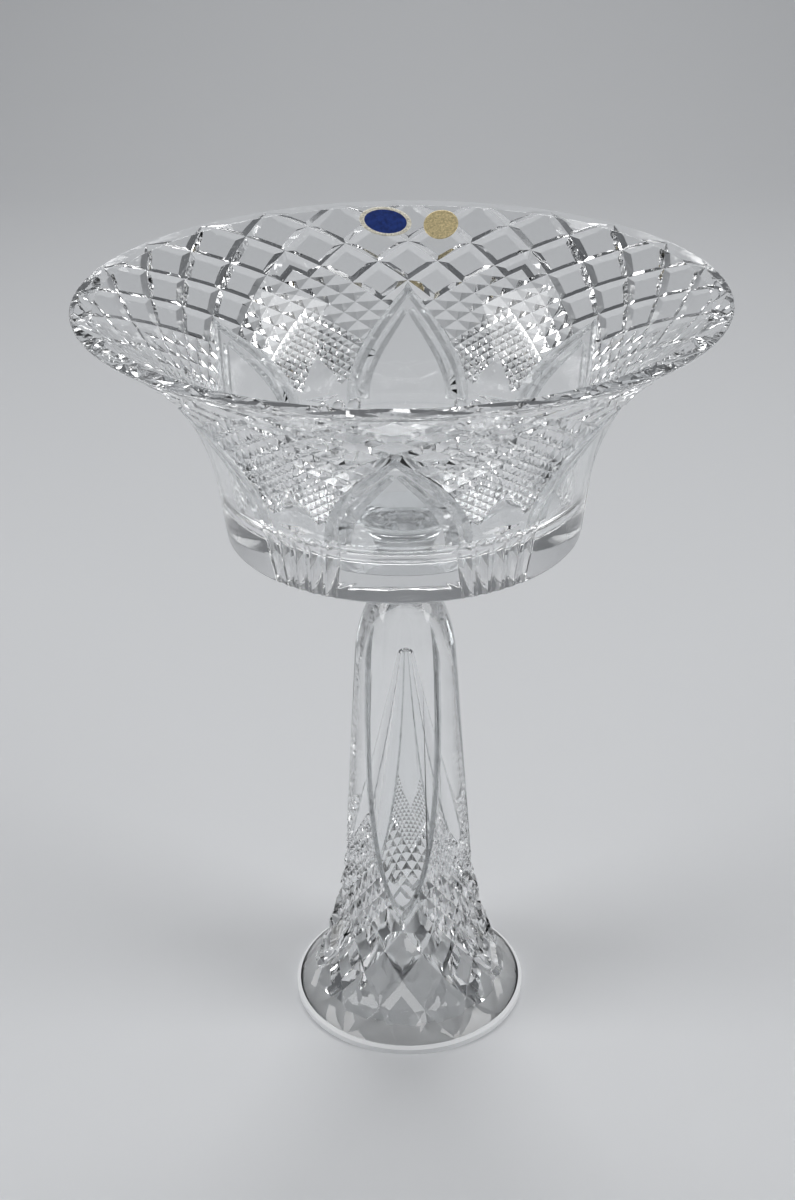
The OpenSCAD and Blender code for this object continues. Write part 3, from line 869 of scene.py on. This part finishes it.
def crystal_material(name, looks):
    """Polished crystal, with the faint unevenness that polishing leaves."""
    material, tree, shader = new_material(name)
    shader.inputs["Base Color"].default_value = (*looks.tint, 1)
    shader.inputs["IOR"].default_value = looks.index
    shader.inputs["Transmission Weight"].default_value = 1.0
    add_roughness(tree, shader, scale=60, detail=3, low=0.0, high=0.022)
    add_bump(tree, shader, scale=90, detail=2, strength=0.05, distance=0.0004)
    return material


def ground_material(looks):
    """Matt white of the ground ring."""
    material, tree, shader = new_material("ground_glass")
    shader.inputs["Base Color"].default_value = (*looks.ground_tint, 1)
    add_roughness(tree, shader, scale=900, detail=4, low=0.42, high=0.62)
    add_bump(tree, shader, scale=2500, detail=3, strength=0.25, distance=0.0002)
    return material


def foil_material(name, base, metallic, roughness, grain):
    """Printed foil: its colour varies a little over its grain, and it has fine wrinkles."""
    material, tree, shader = new_material(name)
    ramp = tree.nodes.new("ShaderNodeValToRGB")
    for stop, (position, shade) in zip(ramp.color_ramp.elements, FOIL_SHADES):
        stop.position = position
        stop.color = (*(min(1.0, shade * c) for c in base), 1)
    tree.links.new(add_noise(tree, scale=4 * grain, detail=4), ramp.inputs["Fac"])
    tree.links.new(ramp.outputs["Color"], shader.inputs["Base Color"])
    shader.inputs["Metallic"].default_value = metallic
    add_roughness(tree, shader, scale=700, detail=3, low=roughness - 0.08, high=roughness + 0.1)
    add_bump(tree, shader, scale=1200, detail=4, strength=0.2, distance=0.0001)
    return material


# Operators

class CRYSTAL_OT_bowl(bpy.types.Operator):
    """Turn the bowl's blank and cut its fields, arches, leaves and flutes"""

    bl_idname = "crystal.bowl"
    bl_label = "Cut bowl"

    SIDES = 240
    ROWS = 8

    def execute(self, context):
        settings = context.scene.crystal_bowl
        cuts = context.scene.crystal_bowl_cuts
        section, skin = bowl_form(settings)
        bowl = turned("bowl_crystal", section, self.SIDES)
        axes, middles = field_turns(cuts.fields)
        base_z = BOWL_LOW.z
        foot_z = base_z + cuts.arch_foot
        outer = Arch(skin, base_z + cuts.arch_tip, foot_z, cuts.arch_half_turn, cuts.arch_round)
        inner = Arch(skin, base_z + cuts.arch_inner_tip, foot_z, cuts.arch_inner_half_turn, cuts.arch_round)
        flute_top = skin.length_at(base_z + cuts.flute_height)
        leaf_head = Gable(skin, base_z + cuts.leaf_tip, base_z + cuts.leaf_belly, cuts.leaf_half_turn)
        plain = kept_plain(cuts.fields, outer, inner, leaf_head.foot)
        diamonds = diamond_cutter(skin, cuts, self.ROWS, plain)
        panels = arch_panel("panels", skin, outer, axes, extra=0.02, depth=0.005)
        leaves = arch_panel("leaves", skin, leaf_head, middles, extra=0.03, depth=0.0045)
        cut(diamonds, [panels, leaves])
        sides = {"width": cuts.arch_width, "turns": axes, "tip_share": 0.62, "run_out": 0}
        arches = arch_cuts("arch_outer", skin, outer, inset_share=0.5, **sides)
        arches += arch_cuts("arch_inner", skin, inner, inset_share=-0.5, **sides)
        leaf = leaf_cut("leaf", skin, leaf_head, flute_top, cuts.leaf_depth, middles)
        cut(bowl, [diamonds] + arches + [leaf] + flute_cutters(skin, cuts))
        crystal = crystal_material("crystal", context.scene.crystal_glass)
        finish_glass(bowl, "bowl", "crystal", [crystal])
        return {"FINISHED"}


class CRYSTAL_OT_foot(bpy.types.Operator):
    """Turn the foot's blank and cut its fields and lancets"""

    bl_idname = "crystal.foot"
    bl_label = "Cut foot"

    SIDES = 192
    ROWS = 10

    def execute(self, context):
        settings = context.scene.crystal_foot
        cuts = context.scene.crystal_foot_cuts
        section, skin = foot_form(settings)
        foot = turned("foot_crystal", section, self.SIDES)
        axes, middles = field_turns(cuts.fields)
        outer = Arch(skin, cuts.arch_tip, cuts.arch_foot, cuts.arch_half_turn, cuts.arch_round)
        inner = Arch(
            skin, cuts.arch_inner_tip, cuts.arch_foot, cuts.arch_inner_half_turn, cuts.arch_inner_round)
        leaf = Gable(skin, cuts.leaf_tip, cuts.leaf_top, cuts.leaf_half_turn)
        plain = kept_plain(cuts.fields, outer, inner, leaf.foot + OVERRUN)
        diamonds = diamond_cutter(skin, cuts, self.ROWS, plain)
        panels = arch_panel("panels", skin, outer, axes, extra=0.0, depth=0.005)
        leaves = arch_panel("leaves", skin, leaf, middles, extra=0.02, depth=0.0045)
        cut(diamonds, [panels, leaves])
        sides = {"width": cuts.arch_width, "turns": axes, "tip_share": 0.9, "run_out": 0.12}
        lancets = arch_cuts("lancet_outer", skin, outer, inset_share=0.5, **sides)
        lancets += arch_cuts("lancet_inner", skin, inner, inset_share=-0.5, **sides)
        cut(foot, [diamonds] + lancets)
        crystal = crystal_material("foot_crystal", context.scene.crystal_glass)
        ground = ground_material(context.scene.crystal_glass)
        finish_glass(foot, "foot", "foot_crystal", [crystal, ground])
        for face in foot.data.polygons:
            if face.center.z < settings.ground_height:
                face.material_index = 1
        return {"FINISHED"}


class CRYSTAL_OT_bond(bpy.types.Operator):
    """Lay the clear bond, sunk a little into both pieces so that no air shows, with a hollow edge"""

    bl_idname = "crystal.bond"
    bl_label = "Lay bond"

    SIDES = 96
    EDGE_STEPS = 8
    SUNK = 0.00005

    def execute(self, context):
        radius = (BOND_HIGH.x - BOND_LOW.x) / 2
        low, high = BOND_LOW.z - self.SUNK, BOND_HIGH.z + self.SUNK
        tall = high - low
        edge = []
        for k in range(self.EDGE_STEPS + 1):
            around = math.pi * k / self.EDGE_STEPS
            edge.append((radius - tall / 2 * math.sin(around), low + tall * (1 - math.cos(around)) / 2))
        bond = turned("bond_layer", np.array([(0, low)] + edge + [(0, high)]), self.SIDES)
        finish_glass(bond, "bond", "adhesive", [crystal_material("adhesive", context.scene.crystal_glass)])
        return {"FINISHED"}


class CRYSTAL_OT_seals(bpy.types.Operator):
    """Emboss the two blank foil seals on the lip's inner face"""

    bl_idname = "crystal.seals"
    bl_label = "Emboss seals"

    SIDES = 208
    # Share of the radius that is missing between two beads of the border
    SCALLOP = 0.012
    # Share of the foil's height by which the beads rise and fall about their mean
    BEAD_SWAY = 0.2
    # Rings from the middle outwards: share of the radius, share of the foil's height, and finish
    OVAL_RINGS = [
        (0.0, 0.50, 0), (0.35, 0.50, 0), (0.70, 0.50, 0), (0.76, 0.38, 0), (0.81, 0.38, 0),
        (0.83, 0.75, 1), (0.90, 1.0, 1), (0.96, 0.75, 1), (1.0, 0.25, 1)]
    ROUND_RINGS = [
        (0.0, 0.55, 0), (0.30, 0.55, 0), (0.58, 0.55, 0), (0.64, 0.85, 0), (0.70, 0.55, 0),
        (0.84, 0.45, 0), (0.90, 1.0, 0), (0.96, 0.75, 0), (1.0, 0.25, 0)]
    # Rings of the flat underside, from the edge inwards: share of the radius
    UNDERSIDE = (1.0, 0.75, 0.5, 0.25, 0.0)

    def execute(self, context):
        seals = context.scene.crystal_seals
        bowl = context.scene.crystal_bowl
        gold = foil_material("gold_foil", seals.gold, metallic=0.35, roughness=0.42, grain=260)
        blue = foil_material("blue_foil", seals.blue, metallic=0.25, roughness=0.32, grain=120)
        pale = foil_material("pale_foil", seals.pale, metallic=0.15, roughness=0.40, grain=260)
        oval = self.emboss(
            "seal_oval", bowl, seals, (seals.oval_length, seals.oval_height),
            (seals.oval_turn, seals.oval_drop, seals.oval_slant), self.OVAL_RINGS)
        round_seal = self.emboss(
            "seal_round", bowl, seals, (seals.round_diameter, seals.round_diameter),
            (seals.round_turn, seals.round_drop, 0.0), self.ROUND_RINGS)
        finish(oval, "label_oval", "blue_foil", [blue, pale])
        finish(round_seal, "label_round", "gold_foil", [gold])
        return {"FINISHED"}

    def emboss(self, name, bowl, seals, size, spot, rings):
        """A sheet on the lip, of the size and at the spot given, whose upper face follows the rings."""
        turn, drop, slant = spot
        middle_r = rim_corners(bowl)[1][0] - drop * math.cos(bowl.lip_rise)

        def place(share, k, height):
            around = 2 * math.pi * k / self.SIDES
            bead = math.cos(seals.beads * around)
            reach = share * (1 + self.SCALLOP * (bead - 1) / 2) if share == 1.0 else share
            x = reach * size[0] / 2 * math.cos(around)
            y = reach * size[1] / 2 * math.sin(around)
            beaded = 1 - self.BEAD_SWAY + self.BEAD_SWAY * bead if height == 1.0 else 1.0
            rise = seals.thickness * height * beaded
            left = x * math.cos(slant) - y * math.sin(slant)
            up = x * math.sin(slant) + y * math.cos(slant)
            return on_lip(bowl, math.pi + turn + left / middle_r, drop - up, seals.gap + rise)

        vertices, faces, finishes = [], [], []
        before = []
        for share, height, finish in rings + [(share, 0.0, rings[-1][2]) for share in self.UNDERSIDE]:
            count = self.SIDES if share > 0 else 1
            ring = [len(vertices) + k % count for k in range(self.SIDES)]
            vertices += [place(share, k, height) for k in range(count)]
            for k in range(len(before)):
                after = (k + 1) % self.SIDES
                loop = [before[k], ring[k], ring[after], before[after]]
                faces.append([v for n, v in enumerate(loop) if v != loop[n - 1]])
                finishes.append(finish)
            before = ring
        seal = new_piece(name, vertices, faces)
        seal.data.polygons.foreach_set("material_index", finishes)
        check_closed(seal)
        return seal


class CRYSTAL_OT_stage(bpy.types.Operator):
    """Lay the pale floor, set the soft lamps and aim the camera as in the photo"""

    bl_idname = "crystal.stage"
    bl_label = "Set stage"

    # Lamps: name, place, width and height, power in watts
    LAMPS = (
        ("left", (-1.35, -0.35, 1.05), (0.9, 1.3), 14),
        ("right", (1.35, -0.35, 1.05), (0.9, 1.3), 14),
        ("back", (0.0, 1.5, 1.9), (1.6, 0.6), 20),
    )
    LAMP_AIM = (0, 0, 0.25)
    # Width of the camera's film in millimetres
    FILM_WIDTH = 36

    def execute(self, context):
        stage = context.scene.crystal_stage
        self.lay_floor(stage)
        self.set_world(context.scene, stage)
        for lamp in self.LAMPS:
            self.hang_lamp(*lamp)
        self.aim_camera(context.scene, stage)
        return {"FINISHED"}

    def lay_floor(self, stage):
        """A floor that rises behind in one sweep."""
        front, bend_start, wall_top, half_width = -3.0, 1.6, 3.5, 4.0
        bend_steps, radius = 12, 0.8
        profile = [(front, 0.0), (bend_start, 0.0)]
        for k in range(1, bend_steps + 1):
            around = math.pi / 2 * k / bend_steps
            profile.append((bend_start + radius * math.sin(around), radius * (1 - math.cos(around))))
        profile.append((bend_start + radius, wall_top))
        vertices = [(x, y, z) for y, z in profile for x in (-half_width, half_width)]
        faces = [[2 * k, 2 * k + 1, 2 * k + 3, 2 * k + 2] for k in range(len(profile) - 1)]
        floor = new_piece("floor", vertices, faces)
        floor.data.shade_smooth()
        material, tree, shader = new_material("floor")
        shader.inputs["Base Color"].default_value = (*stage.floor, 1)
        add_roughness(tree, shader, scale=30, detail=3, low=0.55, high=0.7)
        floor.data.materials.append(material)

    def set_world(self, scene, stage):
        world = bpy.data.worlds.new("room")
        world.use_nodes = True
        back = world.node_tree.nodes["Background"]
        back.inputs["Color"].default_value = (*stage.world, 1)
        back.inputs["Strength"].default_value = stage.world_strength
        scene.world = world
        scene.view_settings.view_transform = "Standard"
        scene.cycles.max_bounces = 32
        scene.cycles.transmission_bounces = 32
        scene.cycles.glossy_bounces = 12

    def hang_lamp(self, name, place, size, power):
        lamp = bpy.data.lights.new(name, "AREA")
        lamp.shape = "RECTANGLE"
        lamp.size, lamp.size_y = size
        lamp.energy = power
        holder = bpy.data.objects.new(name, lamp)
        holder.location = place
        aim = Vector(self.LAMP_AIM) - Vector(place)
        holder.rotation_euler = aim.to_track_quat("-Z", "Y").to_euler()
        bpy.context.scene.collection.objects.link(holder)

    def aim_camera(self, scene, stage):
        lens = bpy.data.cameras.new("camera")
        lens.sensor_fit = "AUTO"
        lens.sensor_width = self.FILM_WIDTH
        lens.lens = stage.camera_lens
        camera = bpy.data.objects.new("camera", lens)
        turn, pitch = stage.camera_turn, stage.camera_pitch
        heading = stage.camera_yaw - turn
        flat = math.cos(pitch)
        forward = Vector((math.sin(heading) * flat, math.cos(heading) * flat, -math.sin(pitch)))
        right = forward.cross(Vector((0, 0, 1))).normalized()
        up = right.cross(forward)
        c, s = math.cos(stage.camera_roll), math.sin(stage.camera_roll)
        right, up = c * right + s * up, c * up - s * right
        away = stage.camera_distance
        eye = Vector((away * math.sin(turn), -away * math.cos(turn), stage.camera_height))
        axes = Matrix((right, up, -forward)).transposed().to_4x4()
        camera.matrix_world = Matrix.Translation(eye) @ axes
        scene.collection.objects.link(camera)
        scene.camera = camera


class CRYSTAL_PT_build(bpy.types.Panel):
    """Sizes, looks and building steps of the bowl"""

    bl_label = "Footed crystal bowl"
    bl_idname = "CRYSTAL_PT_build"
    bl_space_type = "VIEW_3D"
    bl_region_type = "UI"
    bl_category = "Crystal"

    def draw(self, context):
        for operator in OPERATORS:
            self.layout.operator(operator.bl_idname)
        for name in SETTINGS:
            box = self.layout.box()
            group = getattr(context.scene, name)
            for key in group.__annotations__:
                box.prop(group, key)


SETTINGS = {
    "crystal_bowl": BowlSettings,
    "crystal_foot": FootSettings,
    "crystal_bowl_cuts": BowlCuts,
    "crystal_foot_cuts": FootCuts,
    "crystal_glass": GlassSettings,
    "crystal_seals": SealSettings,
    "crystal_stage": StageSettings,
}
OPERATORS = (CRYSTAL_OT_bowl, CRYSTAL_OT_foot, CRYSTAL_OT_bond, CRYSTAL_OT_seals, CRYSTAL_OT_stage)


def register():
    for group in (*SETTINGS.values(), *OPERATORS, CRYSTAL_PT_build):
        bpy.utils.register_class(group)
    for name, group in SETTINGS.items():
        setattr(bpy.types.Scene, name, PointerProperty(type=group))


def unregister():
    for name in SETTINGS:
        delattr(bpy.types.Scene, name)
    for group in (CRYSTAL_PT_build, *reversed(OPERATORS), *reversed(tuple(SETTINGS.values()))):
        bpy.utils.unregister_class(group)


def main():
    register()
    bpy.ops.crystal.bowl()
    bpy.ops.crystal.foot()
    bpy.ops.crystal.bond()
    bpy.ops.crystal.seals()
    bpy.ops.crystal.stage()


if __name__ == "__main__":
    main()
